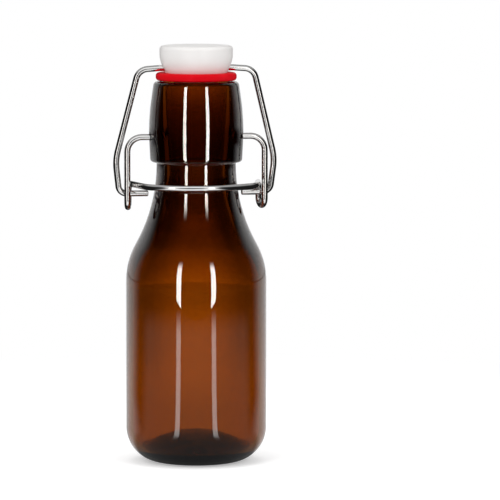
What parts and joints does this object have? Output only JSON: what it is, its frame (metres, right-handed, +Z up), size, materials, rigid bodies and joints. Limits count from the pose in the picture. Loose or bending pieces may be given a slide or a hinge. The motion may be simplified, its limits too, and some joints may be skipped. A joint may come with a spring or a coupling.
{
  "type": "swing top bottle",
  "caption": "Small round amber glass bottle with a wire bail closure: a lever wire swings up over the collar and lifts a rubber-sealed stopper off the mouth.",
  "frame": {"origin": "centre of the base, on the table plane", "axes": "+Z up the bottle's axis, -Y towards the side where the lever's bow lies on the neck, X along the wires' swing axes"},
  "size_m": [0.0566, 0.048, 0.1425],
  "materials": {
    "amber_glass": "smooth blown amber glass",
    "steel_wire": "bright drawn stainless steel wire",
    "white_plastic": "smooth moulded white plastic",
    "red_rubber": "soft satin red rubber"
  },
  "bodies": {
    "bottle": {"bottle": "amber_glass"},
    "lever": {"lever_wire": "steel_wire"},
    "bail": {"bail_wire": "steel_wire"},
    "stopper": {"stopper": "white_plastic", "gasket": "red_rubber"}
  },
  "joints": [
    {"name": "lever_pivot", "type": "hinge", "parent": "bottle", "child": "lever", "pos_m": [0, 0, 0.1114], "axis": [-1, 0, 0], "range_deg": [0, 180]},
    {"name": "bail_pivot", "type": "hinge", "parent": "lever", "child": "bail", "pos_m": [0, 0.00281, 0.09198], "axis": [-1, 0, 0], "range_deg": [-95.4, 0]},
    {"name": "stopper_pivot", "type": "hinge", "parent": "bail", "child": "stopper", "pos_m": [0, 0, 0.13483], "axis": [-1, 0, 0], "range_deg": [-84.6, 0]}
  ],
  "couplings": [
    {"joint": "bail_pivot", "follows": "lever_pivot", "ratio": -0.53},
    {"joint": "stopper_pivot", "follows": "lever_pivot", "ratio": -0.47}
  ]
}
